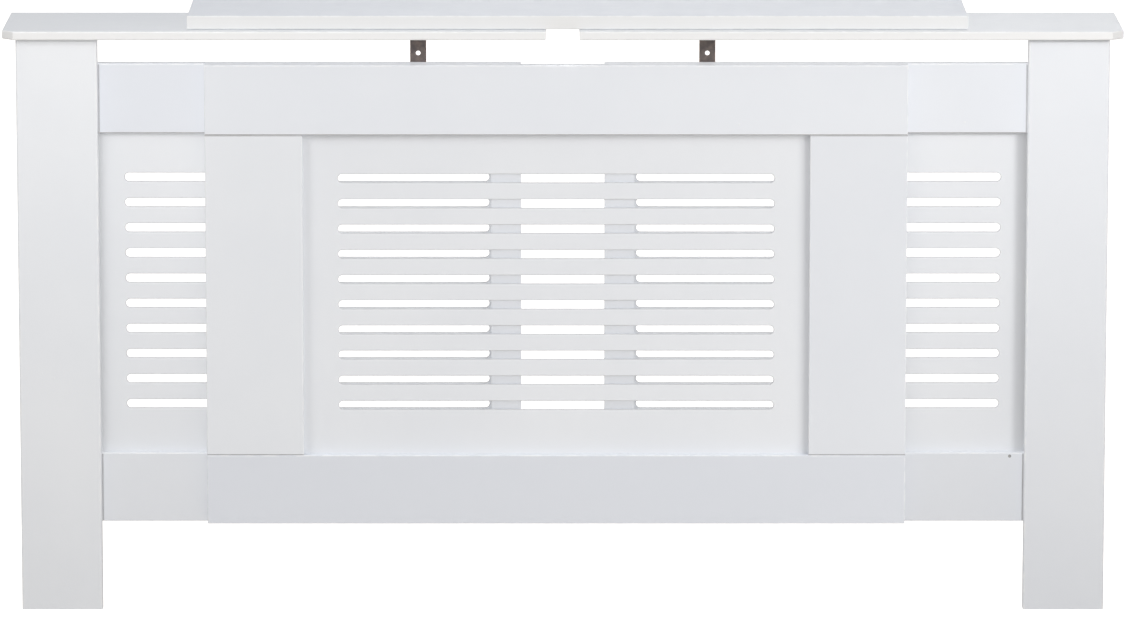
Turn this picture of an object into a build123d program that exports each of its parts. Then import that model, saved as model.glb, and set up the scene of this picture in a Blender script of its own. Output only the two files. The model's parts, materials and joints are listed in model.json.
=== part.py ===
from build123d import *
import os

# A width-adjustable radiator cover of painted board. Two end units carry the legs, side panels,
# slotted frames and shelves. A wider centre unit laps over both frames and guides them, and a
# loose top board bridges the gap between the shelves.
#
# X runs along the wall, -Y faces the room and +Z is up. The origin is on the floor, under the
# middle of the cover. All sizes are in millimetres.

os.makedirs("parts", exist_ok=True)

# Shelves
shelf_length = 735.0
shelf_depth = 190.0
shelf_thick = 12.0
shelf_gap = 45.0
shelf_corner_clip = 16.0
shelf_edge_round = 2.0
shelf_front_overhang = 18.0
shelf_end_overhang = 18.0

# Loose top board and the pads under it
top_board_length = 1055.0
top_board_depth = 172.0
top_board_thick = 18.0
top_board_offset = 20.0
top_board_edge_round = 2.0
pad_radius = 9.0
pad_thick = 1.0
pad_end_inset = 30.0
pad_side_inset = 25.0

# Legs, side panels and what joins them
leg_height = 789.0
leg_width = 110.0
leg_thick = 18.0
leg_arris = 2.5
side_panel_thick = 18.0
corner_batten_size = 20.0
corner_batten_end_gap = 20.0
cleat_size = 18.0
cleat_end_gap = 12.0

# Frames: rails, grille panels and end battens
frame_low_z = 120.0
air_outlet_height = 37.0
rail_width = 95.0
rail_thick = 12.0
rail_arris = 1.2
grille_thick = 6.0
frame_inner_x = 56.5
frame_batten_gap = 1.5
end_batten_width = 17.0
end_batten_cover_width = 41.0
end_batten_shoe_gap = 2.0

# Slots of the grilles
slot_count = 10
slot_pitch = 34.8
slot_height = 11.6
end_slot_inner_margin = 43.5
end_slot_outer_margin = 34.5
end_slot_rise = 2.0
centre_slot_margin = 48.0
centre_slot_rise = 3.0

# Centre unit
centre_length = 952.0
centre_offset = -9.0
stile_width = 132.0
slide_gap = 0.4

# Guide shoes on the back of the centre unit, and the grooves that they run in
shoe_length = 70.0
shoe_height = 26.0
shoe_end_round = 6.0
shoe_end_inset = 70.5
tongue_thick = 3.4
tongue_depth = 4.4
groove_width = 4.0
groove_depth = 5.0
groove_end_gap = 3.0
running_gap = 0.3
closing_travel = 22.0

# Dowels between the shelves and the uprights
dowel_radius = 4.0
dowel_in_shelf = 8.0
dowel_in_upright = 22.0
dowel_clearance = 0.05
leg_dowel_spacing = 60.0
panel_dowel_spacing = 90.0

# Wood screws with countersunk heads
screw_shank_radius = 1.75
screw_head_radius = 3.5
screw_tip_length = 3.0
screw_clearance = 0.05
long_screw_length = 30.0
middle_screw_length = 25.0
short_screw_length = 16.0
bracket_screw_length = 10.0
screw_pair_spacing = 50.0
shoe_screw_spacing = 36.0
panel_screw_end_inset = 60.0
corner_screw_end_inset = 75.0
corner_screw_stagger = 40.0
cleat_screw_spacing = 40.0
stile_screw_end_inset = 80.0
batten_screw_end_inset = 40.0

# Angle brackets of bent strip
strip_thick = 2.0
bend_radius = 3.0
tie_bracket_width = 22.0
tie_bracket_lap = 17.0
tie_bracket_reach = 40.0
tie_bracket_x = 196.0
tie_open_hole_radius = 3.25
tie_open_hole_drop = 25.0
tie_rail_hole_inset = 8.0
tie_shelf_holes = (14.0, 30.0)
wall_bracket_width = 20.0
wall_bracket_leg = 32.0
wall_bracket_drop = 89.0
wall_hole_radius = 2.75
wall_hole_inset = 13.0
wall_screw_insets = (11.0, 24.0)

# Places worked out from the sizes
shelf_outer_x = shelf_gap / 2 + shelf_length
front_y = -shelf_depth / 2
back_y = shelf_depth / 2
shelf_low_z = leg_height
shelf_top_z = shelf_low_z + shelf_thick
board_low_z = shelf_top_z + pad_thick
end_outer_x = shelf_outer_x - shelf_end_overhang
side_inner_x = end_outer_x - side_panel_thick
leg_inner_x = end_outer_x - leg_width
leg_front_y = front_y + shelf_front_overhang
leg_back_y = leg_front_y + leg_thick
leg_middle_y = (leg_front_y + leg_back_y) / 2
side_middle_x = end_outer_x - side_panel_thick / 2

corner_inner_x = side_inner_x - corner_batten_size
corner_middle_x = side_inner_x - corner_batten_size / 2
cleat_low_z = shelf_low_z - cleat_size
cleat_front_y = leg_back_y + corner_batten_size + cleat_end_gap
cleat_back_y = back_y - cleat_end_gap

frame_high_z = shelf_low_z - air_outlet_height
frame_outer_x = corner_inner_x - frame_batten_gap
low_rail_top_z = frame_low_z + rail_width
high_rail_low_z = frame_high_z - rail_width
low_rail_middle_z = frame_low_z + rail_width / 2
high_rail_middle_z = frame_high_z - rail_width / 2
frame_middle_z = (low_rail_top_z + high_rail_low_z) / 2
end_rail_back_y = leg_back_y + rail_thick
end_grille_back_y = end_rail_back_y + grille_thick
end_slot_inner_x = frame_inner_x + end_slot_inner_margin
end_slot_outer_x = leg_inner_x - end_slot_outer_margin
frame_lap_middle_x = (leg_inner_x + frame_outer_x) / 2
end_batten_middle_x = frame_inner_x + end_batten_width / 2

centre_low_x = centre_offset - centre_length / 2
centre_high_x = centre_offset + centre_length / 2
centre_back_y = leg_back_y - slide_gap
centre_grille_front_y = centre_back_y - grille_thick
stile_inner_reach = centre_length / 2 - stile_width
stile_middle_reach = centre_length / 2 - stile_width / 2

shoe_outer_distance = centre_length / 2 - shoe_end_inset
shoe_stop_distance = shoe_outer_distance - shoe_length
groove_end_x = abs(centre_offset) + shoe_outer_distance + closing_travel + groove_end_gap
groove_middle_y = leg_back_y + rail_thick / 2
shoe_back_y = end_rail_back_y - running_gap

board_back_y = back_y
board_front_y = board_back_y - top_board_depth
tie_front_y = end_grille_back_y
tie_low_z = frame_high_z - tie_bracket_lap
wall_bracket_z = shelf_low_z - wall_bracket_drop
head_depth = screw_head_radius - screw_shank_radius


def write_piece(builder, name):
    builder.part.label = name
    export_step(builder.part, f"parts/{name}.step")


def side_name(side):
    return "left" if side < 0 else "right"


def spaced(middle, spacing, count):
    return [middle + spacing * (index - (count - 1) / 2) for index in range(count)]


def spread(low, high, end_inset, count):
    spacing = (high - low - 2 * end_inset) / (count - 1)
    return spaced((low + high) / 2, spacing, count)


def corner_batten_limits_z():
    return corner_batten_end_gap, leg_height - corner_batten_end_gap


# A screw place is the middle of its head, the way it points and its length.
def place_screws(screws, clearance=0.0, mode=Mode.ADD):
    for head, direction, length in screws:
        driven = Plane(origin=head, z_dir=direction)
        shank = screw_shank_radius + clearance
        with BuildSketch(Plane(origin=head, x_dir=driven.x_dir, z_dir=driven.y_dir)) as half:
            with BuildLine():
                Polyline(
                    (0, 0),
                    (screw_head_radius + clearance, 0),
                    (shank, -head_depth),
                    (shank, -(length - screw_tip_length)),
                    (0, -(length + clearance)),
                    close=True,
                )
            make_face()
        revolve(half.sketch, axis=Axis(head, direction), mode=mode)


def cut_screw_holes(screws):
    place_screws(screws, screw_clearance, Mode.SUBTRACT)


def frame_leg_screws(side):
    x = side * frame_lap_middle_x
    heights = spaced(low_rail_middle_z, screw_pair_spacing, 2)
    heights += spaced(high_rail_middle_z, screw_pair_spacing, 2)
    return [((x, end_grille_back_y, z), (0, -1, 0), long_screw_length) for z in heights]


def corner_leg_screws(side):
    x = side * corner_middle_x
    y = leg_back_y + corner_batten_size
    heights = spread(*corner_batten_limits_z(), corner_screw_end_inset, 3)
    return [((x, y, z), (0, -1, 0), long_screw_length) for z in heights]


def corner_panel_screws(side):
    x = side * corner_inner_x
    y = leg_back_y + corner_batten_size / 2
    heights = spread(*corner_batten_limits_z(), corner_screw_end_inset, 3)
    return [
        ((x, y, z - corner_screw_stagger), (side, 0, 0), long_screw_length) for z in heights
    ]


def cleat_panel_screws(side):
    x = side * (side_inner_x - cleat_size)
    z = shelf_low_z - cleat_size / 2
    places = spaced((cleat_front_y + cleat_back_y) / 2, cleat_screw_spacing, 2)
    return [((x, y, z), (side, 0, 0), middle_screw_length) for y in places]


def cleat_shelf_screws(side):
    x = side * (side_inner_x - cleat_size / 2)
    places = spaced((cleat_front_y + cleat_back_y) / 2, 2 * cleat_screw_spacing, 2)
    return [((x, y, cleat_low_z), (0, 0, 1), middle_screw_length) for y in places]


def end_batten_screws(side):
    x = side * end_batten_middle_x
    heights = spread(low_rail_top_z, high_rail_low_z, batten_screw_end_inset, 3)
    return [((x, end_grille_back_y, z), (0, -1, 0), short_screw_length) for z in heights]


def end_rail_screws(side):
    inner_x = frame_inner_x + panel_screw_end_inset
    outer_x = leg_inner_x - panel_screw_end_inset
    places = [side * x for x in (inner_x, (inner_x + outer_x) / 2, outer_x)]
    heights = (low_rail_middle_z, high_rail_middle_z)
    return [
        ((x, end_grille_back_y, z), (0, -1, 0), short_screw_length) for x in places for z in heights
    ]


def tie_rail_screws(side):
    z = frame_high_z - tie_rail_hole_inset
    y = tie_front_y + strip_thick
    return [((side * tie_bracket_x, y, z), (0, -1, 0), short_screw_length)]


def tie_shelf_screws(side):
    z = shelf_low_z - strip_thick
    x = side * tie_bracket_x
    return [
        ((x, tie_front_y + reach, z), (0, 0, 1), bracket_screw_length) for reach in tie_shelf_holes
    ]


def wall_bracket_screws(side):
    x = side * (side_inner_x - strip_thick)
    return [
        ((x, back_y - inset, wall_bracket_z), (side, 0, 0), bracket_screw_length)
        for inset in wall_screw_insets
    ]


def centre_screws():
    inner_x = centre_length / 2 - panel_screw_end_inset
    rail_places = [centre_offset + share * inner_x for share in (-1, -1 / 3, 1 / 3, 1)]
    rail_heights = (low_rail_middle_z, high_rail_middle_z)
    stile_places = [centre_offset - stile_middle_reach, centre_offset + stile_middle_reach]
    stile_heights = spread(low_rail_top_z, high_rail_low_z, stile_screw_end_inset, 2)
    places = [(x, z) for x in rail_places for z in rail_heights]
    places += [(x, z) for x in stile_places for z in stile_heights]
    return [((x, centre_back_y, z), (0, -1, 0), short_screw_length) for x, z in places]


def shoe_middle_x(side):
    return centre_offset + side * (shoe_stop_distance + shoe_length / 2)


def shoe_limits_z(level):
    if level < 0:
        return low_rail_top_z + running_gap, low_rail_top_z + running_gap + shoe_height
    return high_rail_low_z - running_gap - shoe_height, high_rail_low_z - running_gap


def shoe_screws(side, level):
    z = sum(shoe_limits_z(level)) / 2
    places = spaced(shoe_middle_x(side), shoe_screw_spacing, 2)
    return [((x, shoe_back_y, z), (0, -1, 0), middle_screw_length) for x in places]


def dowel_places(side):
    leg_middle_x = side * (leg_inner_x + leg_width / 2)
    panel_middle_y = (leg_back_y + back_y) / 2
    in_leg = [(x, leg_middle_y) for x in spaced(leg_middle_x, leg_dowel_spacing, 2)]
    in_panel = [(side * side_middle_x, y) for y in spaced(panel_middle_y, panel_dowel_spacing, 2)]
    return in_leg, in_panel


# A dowel hole is as deep as its dowel on either side of the joint, plus the clearance.
def cut_dowel_holes(places):
    low_z = shelf_low_z - dowel_in_upright - dowel_clearance
    high_z = shelf_low_z + dowel_in_shelf + dowel_clearance
    with BuildSketch(Plane.XY.offset(low_z)) as holes:
        with Locations(*places):
            Circle(dowel_radius + dowel_clearance)
    extrude(holes.sketch, amount=high_z - low_z, mode=Mode.SUBTRACT)


def make_leg(side):
    name = f"{side_name(side)}_leg"
    with BuildPart() as leg:
        with BuildSketch():
            with Locations((side * (leg_inner_x + leg_width / 2), leg_middle_y)):
                Rectangle(leg_width, leg_thick)
        extrude(amount=leg_height)
        fillet(leg.edges().filter_by(Axis.Z).group_by(Axis.Y)[0], radius=leg_arris)
        cut_dowel_holes(dowel_places(side)[0])
        cut_screw_holes(frame_leg_screws(side) + corner_leg_screws(side))
    write_piece(leg, name)


def make_side_panel(side):
    name = f"{side_name(side)}_side_panel"
    with BuildPart() as panel:
        with BuildSketch():
            with Locations((side * side_middle_x, (leg_back_y + back_y) / 2)):
                Rectangle(side_panel_thick, back_y - leg_back_y)
        extrude(amount=leg_height)
        cut_dowel_holes(dowel_places(side)[1])
        cut_screw_holes(corner_panel_screws(side) + cleat_panel_screws(side))
        cut_screw_holes(wall_bracket_screws(side))
    write_piece(panel, name)


def make_shelf(side):
    name = f"{side_name(side)}_shelf"
    inner_x = side * shelf_gap / 2
    outer_x = side * shelf_outer_x
    clip_x = side * (shelf_outer_x - shelf_corner_clip)
    with BuildPart() as shelf:
        with BuildSketch(Plane.XY.offset(shelf_low_z)):
            with BuildLine():
                Polyline(
                    (inner_x, front_y),
                    (clip_x, front_y),
                    (outer_x, front_y + shelf_corner_clip),
                    (outer_x, back_y),
                    (inner_x, back_y),
                    close=True,
                )
            make_face()
        extrude(amount=shelf_thick)
        rims = shelf.edges().group_by(Axis.Z)
        fillet(rims[0] + rims[-1], radius=shelf_edge_round)
        in_leg, in_panel = dowel_places(side)
        cut_dowel_holes(in_leg + in_panel)
        cut_screw_holes(cleat_shelf_screws(side) + tie_shelf_screws(side))
    write_piece(shelf, name)


def make_end_rail(side, level):
    name = f"{side_name(side)}_{'bottom' if level < 0 else 'top'}_rail"
    low_z = frame_low_z if level < 0 else high_rail_low_z
    groove_low_z = low_rail_top_z - groove_depth if level < 0 else high_rail_low_z
    with BuildPart() as rail:
        with BuildSketch(Plane.XZ.offset(-end_rail_back_y)):
            with Locations((side * (frame_inner_x + frame_outer_x) / 2, low_z + rail_width / 2)):
                Rectangle(frame_outer_x - frame_inner_x, rail_width)
        extrude(amount=rail_thick)
        fillet(rail.edges().filter_by(Axis.X).group_by(Axis.Y)[0], radius=rail_arris)
        with BuildSketch(Plane.XY.offset(groove_low_z)):
            with Locations((side * (frame_inner_x + groove_end_x) / 2, groove_middle_y)):
                Rectangle(groove_end_x - frame_inner_x, groove_width)
        extrude(amount=groove_depth, mode=Mode.SUBTRACT)
        cut_screw_holes(frame_leg_screws(side) + end_rail_screws(side) + tie_rail_screws(side))
    write_piece(rail, name)


# The slots of every grille lie at one pitch between the rails, with fully rounded ends.
def make_grille(name, x_limits, slot_limits, slot_middle_z, grille_back_y, screws):
    slot_x = sum(slot_limits) / 2
    slot_places = [(slot_x, z) for z in spaced(slot_middle_z, slot_pitch, slot_count)]
    with BuildPart() as grille:
        with BuildSketch(Plane.XZ.offset(-grille_back_y)):
            with Locations((sum(x_limits) / 2, (frame_low_z + frame_high_z) / 2)):
                Rectangle(abs(x_limits[1] - x_limits[0]), frame_high_z - frame_low_z)
            with Locations(*slot_places):
                SlotOverall(abs(slot_limits[1] - slot_limits[0]), slot_height, mode=Mode.SUBTRACT)
        extrude(amount=grille_thick)
        cut_screw_holes(screws)
    write_piece(grille, name)


def make_end_grille(side):
    screws = frame_leg_screws(side) + end_rail_screws(side)
    screws += tie_rail_screws(side) + end_batten_screws(side)
    make_grille(
        f"{side_name(side)}_grille_panel",
        (side * frame_inner_x, side * frame_outer_x),
        (side * end_slot_inner_x, side * end_slot_outer_x),
        frame_middle_z + end_slot_rise,
        end_grille_back_y,
        screws,
    )


# An end batten backs the grille up to its slots, and stops the guide shoes with its ends.
def make_end_batten(side):
    name = f"{side_name(side)}_end_batten"
    cover_middle_x = frame_inner_x + end_batten_cover_width / 2
    cover_low_z = shoe_limits_z(-1)[1] + end_batten_shoe_gap
    cover_high_z = shoe_limits_z(1)[0] - end_batten_shoe_gap
    with BuildPart() as batten:
        with BuildSketch(Plane.XY.offset(low_rail_top_z)):
            with Locations((side * end_batten_middle_x, groove_middle_y)):
                Rectangle(end_batten_width, rail_thick)
        extrude(amount=high_rail_low_z - low_rail_top_z)
        with BuildSketch(Plane.XY.offset(cover_low_z)):
            with Locations((side * cover_middle_x, groove_middle_y)):
                Rectangle(end_batten_cover_width, rail_thick)
        extrude(amount=cover_high_z - cover_low_z)
        cut_screw_holes(end_batten_screws(side))
    write_piece(batten, name)


def make_corner_batten(side):
    name = f"{side_name(side)}_corner_batten"
    low_z, high_z = corner_batten_limits_z()
    with BuildPart() as batten:
        with BuildSketch(Plane.XY.offset(low_z)):
            with Locations((side * corner_middle_x, leg_back_y + corner_batten_size / 2)):
                Rectangle(corner_batten_size, corner_batten_size)
        extrude(amount=high_z - low_z)
        cut_screw_holes(corner_leg_screws(side) + corner_panel_screws(side))
    write_piece(batten, name)


def make_shelf_cleat(side):
    name = f"{side_name(side)}_shelf_cleat"
    with BuildPart() as cleat:
        with BuildSketch(Plane.XY.offset(cleat_low_z)):
            with Locations((side * (side_inner_x - cleat_size / 2), (cleat_front_y + cleat_back_y) / 2)):
                Rectangle(cleat_size, cleat_back_y - cleat_front_y)
        extrude(amount=cleat_size)
        cut_screw_holes(cleat_panel_screws(side) + cleat_shelf_screws(side))
    write_piece(cleat, name)


def make_shelf_dowels(side):
    name = f"{side_name(side)}_shelf_dowels"
    in_leg, in_panel = dowel_places(side)
    with BuildPart() as dowels:
        with BuildSketch(Plane.XY.offset(shelf_low_z - dowel_in_upright)):
            with Locations(*in_leg, *in_panel):
                Circle(dowel_radius)
        extrude(amount=dowel_in_upright + dowel_in_shelf)
        ends = dowels.edges().filter_by(GeomType.CIRCLE)
        chamfer(ends, length=dowel_radius / 8)
    write_piece(dowels, name)


# The tie bracket hangs from the shelf behind the top rail. Its upper hole stays open.
def make_tie_bracket(side):
    name = f"{side_name(side)}_tie_bracket"
    with BuildPart() as bracket:
        start_x = side * tie_bracket_x - tie_bracket_width / 2
        with BuildSketch(Plane.YZ.offset(start_x)):
            with BuildLine():
                Polyline(
                    (tie_front_y, shelf_low_z),
                    (tie_front_y, tie_low_z),
                    (tie_front_y + strip_thick, tie_low_z),
                    (tie_front_y + strip_thick, shelf_low_z - strip_thick),
                    (tie_front_y + tie_bracket_reach, shelf_low_z - strip_thick),
                    (tie_front_y + tie_bracket_reach, shelf_low_z),
                    close=True,
                )
            make_face()
        extrude(amount=tie_bracket_width)
        bend = bracket.edges().filter_by(Axis.X).sort_by(
            lambda edge: (edge.center().Y - tie_front_y) + (shelf_low_z - edge.center().Z)
        )
        fillet(bend[0], radius=bend_radius)
        open_hole_z = shelf_low_z - tie_open_hole_drop
        with BuildSketch(Plane.XZ.offset(-tie_front_y - strip_thick)):
            with Locations((side * tie_bracket_x, open_hole_z)):
                Circle(tie_open_hole_radius)
        extrude(amount=strip_thick, mode=Mode.SUBTRACT)
        cut_screw_holes(tie_rail_screws(side) + tie_shelf_screws(side))
    write_piece(bracket, name)


# The wall bracket stands inside the side panel, with one leg flat against the wall.
def make_wall_bracket(side):
    name = f"{side_name(side)}_wall_bracket"
    outer_x = side * side_inner_x
    with BuildPart() as bracket:
        with BuildSketch(Plane.XY.offset(wall_bracket_z - wall_bracket_width / 2)):
            with BuildLine():
                Polyline(
                    (outer_x, back_y),
                    (outer_x, back_y - wall_bracket_leg),
                    (outer_x - side * strip_thick, back_y - wall_bracket_leg),
                    (outer_x - side * strip_thick, back_y - strip_thick),
                    (outer_x - side * wall_bracket_leg, back_y - strip_thick),
                    (outer_x - side * wall_bracket_leg, back_y),
                    close=True,
                )
            make_face()
        extrude(amount=wall_bracket_width)
        bend = bracket.edges().filter_by(Axis.Z).sort_by(
            lambda edge: abs(edge.center().X - outer_x) + (back_y - edge.center().Y)
        )
        fillet(bend[0], radius=bend_radius)
        hole_x = outer_x - side * (wall_bracket_leg - wall_hole_inset)
        with BuildSketch(Plane.XZ.offset(-back_y)):
            with Locations((hole_x, wall_bracket_z)):
                Circle(wall_hole_radius)
        extrude(amount=strip_thick, mode=Mode.SUBTRACT)
        cut_screw_holes(wall_bracket_screws(side))
    write_piece(bracket, name)


def make_screw_group(name, screws):
    with BuildPart() as group:
        place_screws(screws)
    write_piece(group, name)


def make_end_screws(side):
    prefix = side_name(side)
    long_screws = frame_leg_screws(side) + corner_leg_screws(side) + corner_panel_screws(side)
    make_screw_group(f"{prefix}_frame_screws", long_screws)
    make_screw_group(
        f"{prefix}_cleat_screws", cleat_panel_screws(side) + cleat_shelf_screws(side)
    )
    panel_screws = end_batten_screws(side) + end_rail_screws(side) + tie_rail_screws(side)
    make_screw_group(f"{prefix}_panel_screws", panel_screws)
    make_screw_group(
        f"{prefix}_bracket_screws", tie_shelf_screws(side) + wall_bracket_screws(side)
    )


def make_centre_rail(level):
    name = f"centre_{'bottom' if level < 0 else 'top'}_rail"
    middle_z = low_rail_middle_z if level < 0 else high_rail_middle_z
    with BuildPart() as rail:
        with BuildSketch(Plane.XZ.offset(-centre_grille_front_y)):
            with Locations((centre_offset, middle_z)):
                Rectangle(centre_length, rail_width)
        extrude(amount=rail_thick)
        fillet(rail.edges().group_by(Axis.Y)[0], radius=rail_arris)
        cut_screw_holes(centre_screws())
    write_piece(rail, name)


def make_stile(side):
    name = f"centre_{side_name(side)}_stile"
    screws = centre_screws() + shoe_screws(side, -1) + shoe_screws(side, 1)
    with BuildPart() as stile:
        with BuildSketch(Plane.XZ.offset(-centre_grille_front_y)):
            with Locations((centre_offset + side * stile_middle_reach, frame_middle_z)):
                Rectangle(stile_width, high_rail_low_z - low_rail_top_z)
        extrude(amount=rail_thick)
        fillet(stile.edges().group_by(Axis.Y)[0], radius=rail_arris)
        cut_screw_holes(screws)
    write_piece(stile, name)


def make_centre_grille():
    slot_reach = stile_inner_reach - centre_slot_margin
    screws = centre_screws()
    for side in (-1, 1):
        screws += shoe_screws(side, -1) + shoe_screws(side, 1)
    make_grille(
        "centre_grille_panel",
        (centre_low_x, centre_high_x),
        (centre_offset - slot_reach, centre_offset + slot_reach),
        frame_middle_z + centre_slot_rise,
        centre_back_y,
        screws,
    )


# A guide shoe fills the recess between the rails, and its tongue runs in the rail's groove.
def make_guide_shoe(side, level):
    name = f"guide_shoe_{'bottom' if level < 0 else 'top'}_{side_name(side)}"
    low_z, high_z = shoe_limits_z(level)
    rail_z = low_rail_top_z if level < 0 else high_rail_low_z
    tongue_z = sorted((rail_z + level * tongue_depth, (low_z + high_z) / 2))
    middle_x = shoe_middle_x(side)
    with BuildPart() as shoe:
        with BuildSketch(Plane.XZ.offset(-shoe_back_y)):
            with Locations((middle_x, (low_z + high_z) / 2)):
                Rectangle(shoe_length, shoe_height)
        extrude(amount=shoe_back_y - centre_back_y)
        free_corners = shoe.edges().filter_by(Axis.Y).group_by(Axis.Z)[-1 if level < 0 else 0]
        fillet(free_corners, radius=shoe_end_round)
        with BuildSketch(Plane.XY.offset(tongue_z[0])):
            with Locations((middle_x, groove_middle_y)):
                Rectangle(shoe_length, tongue_thick)
        extrude(amount=tongue_z[1] - tongue_z[0])
        cut_screw_holes(shoe_screws(side, level))
    write_piece(shoe, name)


def make_top_board():
    with BuildPart() as board:
        with BuildSketch(Plane.XY.offset(board_low_z)):
            with Locations((top_board_offset, (board_front_y + board_back_y) / 2)):
                Rectangle(top_board_length, top_board_depth)
        extrude(amount=top_board_thick)
        rims = board.edges().group_by(Axis.Z)
        fillet(rims[0] + rims[-1], radius=top_board_edge_round)
    write_piece(board, "top_board")


def make_top_board_pads():
    reach_x = top_board_length / 2 - pad_end_inset
    pad_x = (top_board_offset - reach_x, top_board_offset + reach_x)
    pad_y = (board_front_y + pad_side_inset, board_back_y - pad_side_inset)
    with BuildPart() as pads:
        with BuildSketch(Plane.XY.offset(shelf_top_z)):
            with Locations(*[(x, y) for x in pad_x for y in pad_y]):
                Circle(pad_radius)
        extrude(amount=pad_thick)
    write_piece(pads, "top_board_pads")


for end_side in (-1, 1):
    make_leg(end_side)
    make_side_panel(end_side)
    make_shelf(end_side)
    make_end_grille(end_side)
    make_end_batten(end_side)
    make_corner_batten(end_side)
    make_shelf_cleat(end_side)
    make_shelf_dowels(end_side)
    make_tie_bracket(end_side)
    make_wall_bracket(end_side)
    make_end_screws(end_side)
    make_stile(end_side)
    for rail_level in (-1, 1):
        make_end_rail(end_side, rail_level)
        make_guide_shoe(end_side, rail_level)

make_centre_grille()
make_centre_rail(-1)
make_centre_rail(1)
make_screw_group("centre_panel_screws", centre_screws())
make_screw_group(
    "guide_shoe_screws",
    [screw for side in (-1, 1) for level in (-1, 1) for screw in shoe_screws(side, level)],
)
make_top_board()
make_top_board_pads()
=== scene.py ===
import json
import math

import bmesh
import bpy
from mathutils import Euler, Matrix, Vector

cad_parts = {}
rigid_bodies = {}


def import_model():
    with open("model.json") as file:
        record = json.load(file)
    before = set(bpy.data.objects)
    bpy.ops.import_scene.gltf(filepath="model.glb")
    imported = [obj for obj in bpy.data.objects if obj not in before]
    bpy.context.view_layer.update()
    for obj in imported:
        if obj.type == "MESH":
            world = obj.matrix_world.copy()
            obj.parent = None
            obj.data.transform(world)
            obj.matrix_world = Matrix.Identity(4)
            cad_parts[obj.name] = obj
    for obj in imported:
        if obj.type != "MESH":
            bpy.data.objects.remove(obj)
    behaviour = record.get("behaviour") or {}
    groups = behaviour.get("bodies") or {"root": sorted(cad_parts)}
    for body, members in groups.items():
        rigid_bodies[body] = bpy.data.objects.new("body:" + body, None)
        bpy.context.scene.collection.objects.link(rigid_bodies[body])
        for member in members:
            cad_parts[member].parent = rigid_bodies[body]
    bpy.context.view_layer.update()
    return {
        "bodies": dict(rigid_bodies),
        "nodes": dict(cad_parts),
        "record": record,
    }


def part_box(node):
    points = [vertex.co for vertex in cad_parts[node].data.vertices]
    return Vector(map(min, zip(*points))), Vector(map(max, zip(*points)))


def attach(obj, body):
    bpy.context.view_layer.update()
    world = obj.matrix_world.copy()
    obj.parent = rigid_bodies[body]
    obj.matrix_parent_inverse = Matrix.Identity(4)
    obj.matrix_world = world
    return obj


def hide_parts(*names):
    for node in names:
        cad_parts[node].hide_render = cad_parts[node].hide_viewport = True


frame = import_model()
nodes = frame["nodes"]
print("frame loaded:", len(nodes), "nodes")

ends = {"left_end": -1, "right_end": 1}  # each sliding end and its side along X
weld = 1e-6  # points this close are merged
level = 1e-5  # places this close are on one level
rounding = 1e-7  # the most that float rounding leaves


# Node trees

floatSocket = "NodeSocketFloat"
vectorSocket = "NodeSocketVector"
geometrySocket = "NodeSocketGeometry"
materialSocket = "NodeSocketMaterial"
countSocket = "NodeSocketInt"


def addNode(tree, kind, inputs=None, **settings):
    # an input is a plain value, a socket to link, or a list of sockets for one that takes many
    node = tree.nodes.new(kind)
    for name, value in settings.items():
        setattr(node, name, value)
    for key, given in (inputs or {}).items():
        for value in given if isinstance(given, list) else [given]:
            if isinstance(value, bpy.types.NodeSocket):
                tree.links.new(value, node.inputs[key])
            else:
                node.inputs[key].default_value = value
    return node


def addOut(tree, kind, inputs=None, **settings):
    return addNode(tree, kind, inputs, **settings).outputs[0]


def addMath(tree, operation, first, second=0.0, third=0.0):
    return addOut(tree, "ShaderNodeMath", {0: first, 1: second, 2: third}, operation=operation)


def addVector(tree, x=0.0, y=0.0, z=0.0):
    return addOut(tree, "ShaderNodeCombineXYZ", {"X": x, "Y": y, "Z": z})


def takeAxis(tree, vector, axis):
    return addNode(tree, "ShaderNodeSeparateXYZ", {0: vector}).outputs[axis]


def newTree(name, kind, inputs, outputs):
    # inputs and outputs list the names of the sockets of each type
    tree = bpy.data.node_groups.new(name, kind)
    for way, sockets in (("INPUT", inputs), ("OUTPUT", outputs)):
        for socketType, labels in sockets.items():
            for label in labels:
                tree.interface.new_socket(label, in_out=way, socket_type=socketType)
    return tree, addNode(tree, "NodeGroupInput").outputs


# Shader groups that several finishes share

def addRange(tree, value, low, high, newLow=0.0, newHigh=1.0):
    inputs = {"Value": value, "From Min": low, "From Max": high, "To Min": newLow, "To Max": newHigh}
    return addOut(tree, "ShaderNodeMapRange", inputs)


def addNoise(tree, vector, scale, detail=2.0, roughness=0.5):
    inputs = {"Vector": vector, "Scale": scale, "Detail": detail, "Roughness": roughness}
    return addNode(tree, "ShaderNodeTexNoise", inputs).outputs["Fac"]


def mixColour(tree, factor, first, second):
    inputs = {0: factor, 6: first, 7: second}
    return addNode(tree, "ShaderNodeMix", inputs, data_type="RGBA").outputs[2]


def readMark(tree, name):
    return addNode(tree, "ShaderNodeAttribute", attribute_name=name).outputs["Fac"]


def addFacing(tree, axis, low, high):
    # grows as a face turns from low to high along the axis
    normal = addNode(tree, "ShaderNodeNewGeometry").outputs["Normal"]
    return addRange(tree, takeAxis(tree, normal, axis), low, high)


def drawOut(tree, vector, share):
    # a texture on this vector is stretched along Z
    return addOut(tree, "ShaderNodeMapping", {"Vector": vector, "Scale": (1, 1, share)})


def newGroup(name, inputs, outputs):
    inputs = {vectorSocket: ["Vector"], floatSocket: inputs}
    return newTree(name, "ShaderNodeTree", inputs, {floatSocket: outputs})


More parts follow.
